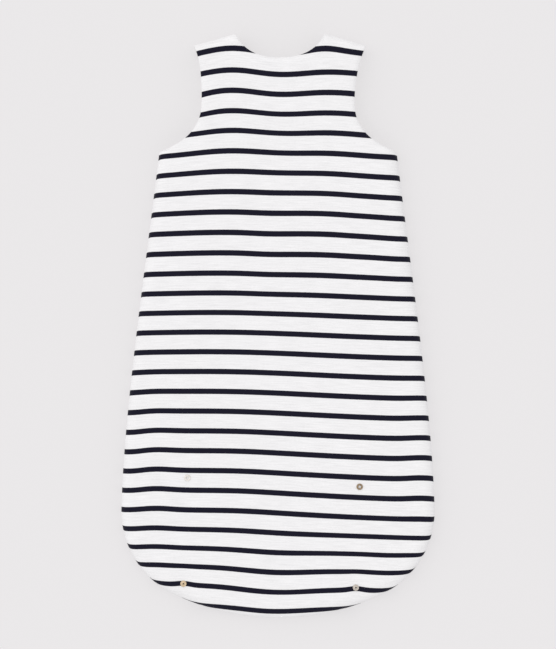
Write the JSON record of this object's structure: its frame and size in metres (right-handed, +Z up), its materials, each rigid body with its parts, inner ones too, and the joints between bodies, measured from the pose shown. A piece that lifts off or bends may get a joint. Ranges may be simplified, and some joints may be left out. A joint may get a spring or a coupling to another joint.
{
  "type": "baby sleeping bag",
  "caption": "Sleeveless padded baby sleeping bag lying face down, with a front zip and a hem that folds up and snaps to the back.",
  "frame": {"origin": "centre of the footprint, on the surface the bag lies on", "axes": "+X across the bag, +Y from the hem to the neck, +Z up through the back panel"},
  "size_m": [0.3752, 0.7, 0.0251],
  "materials": {
    "shell_jersey": "white fine jersey with narrow navy stripes",
    "wadding": "lofty polyester batt",
    "lining_jersey": "plain white jersey",
    "zip_tape": "white woven tape",
    "zip_plastic": "satin white",
    "slider_metal": "polished, pale",
    "pale_metal": "satin, pale champagne",
    "gold_metal": "satin, soft gold",
    "bronze_metal": "satin, dark bronze",
    "patch_cloth": "white interfacing",
    "label_satin": "white satin ribbon, blank"
  },
  "bodies": {
    "bag": {"back_shell": "shell_jersey", "back_wadding": "wadding", "back_lining": "lining_jersey", "front_left_shell": "shell_jersey", "front_left_wadding": "wadding", "front_left_lining": "lining_jersey", "front_right_shell": "shell_jersey", "front_right_wadding": "wadding", "front_right_lining": "lining_jersey", "zip_tape_left": "zip_tape", "zip_tape_right": "zip_tape", "zip_teeth_left": "zip_plastic", "zip_teeth_right": "zip_plastic", "zip_top_stop_left": "zip_plastic", "zip_top_stop_right": "zip_plastic", "zip_bottom_stop": "zip_plastic", "zip_guard": "lining_jersey", "zip_garage": "shell_jersey", "snap_socket_left": "pale_metal", "snap_socket_right": "bronze_metal", "snap_socket_ring_left": "pale_metal", "snap_socket_ring_right": "bronze_metal", "snap_patch_upper_left": "patch_cloth", "snap_patch_upper_right": "patch_cloth", "neck_label": "label_satin", "care_label": "label_satin"},
    "hem": {"hem_back_shell": "shell_jersey", "hem_back_wadding": "wadding", "hem_back_lining": "lining_jersey", "hem_front_left_shell": "shell_jersey", "hem_front_left_wadding": "wadding", "hem_front_left_lining": "lining_jersey", "hem_front_right_shell": "shell_jersey", "hem_front_right_wadding": "wadding", "hem_front_right_lining": "lining_jersey", "snap_stud_left": "gold_metal", "snap_stud_right": "pale_metal", "snap_stud_ring_left": "gold_metal", "snap_stud_ring_right": "pale_metal", "snap_patch_lower_left": "patch_cloth", "snap_patch_lower_right": "patch_cloth"},
    "slider": {"zip_slider": "slider_metal"},
    "pull": {"zip_pull": "slider_metal"}
  },
  "joints": [
    {"name": "zip_slide", "type": "slide", "parent": "bag", "child": "slider", "axis": [0, -1, 0], "range_m": [0, 0.43]},
    {"name": "pull_swing", "type": "hinge", "parent": "slider", "child": "pull", "pos_m": [0, 0.2422, 0.0019], "axis": [1, 0, 0], "range_deg": [0, 180]},
    {"name": "hem_fold", "type": "hinge", "parent": "bag", "child": "hem", "pos_m": [0, -0.2494, 0.02425], "axis": [-0.9993, 0.0373, 0], "range_deg": [0, 180]}
  ]
}
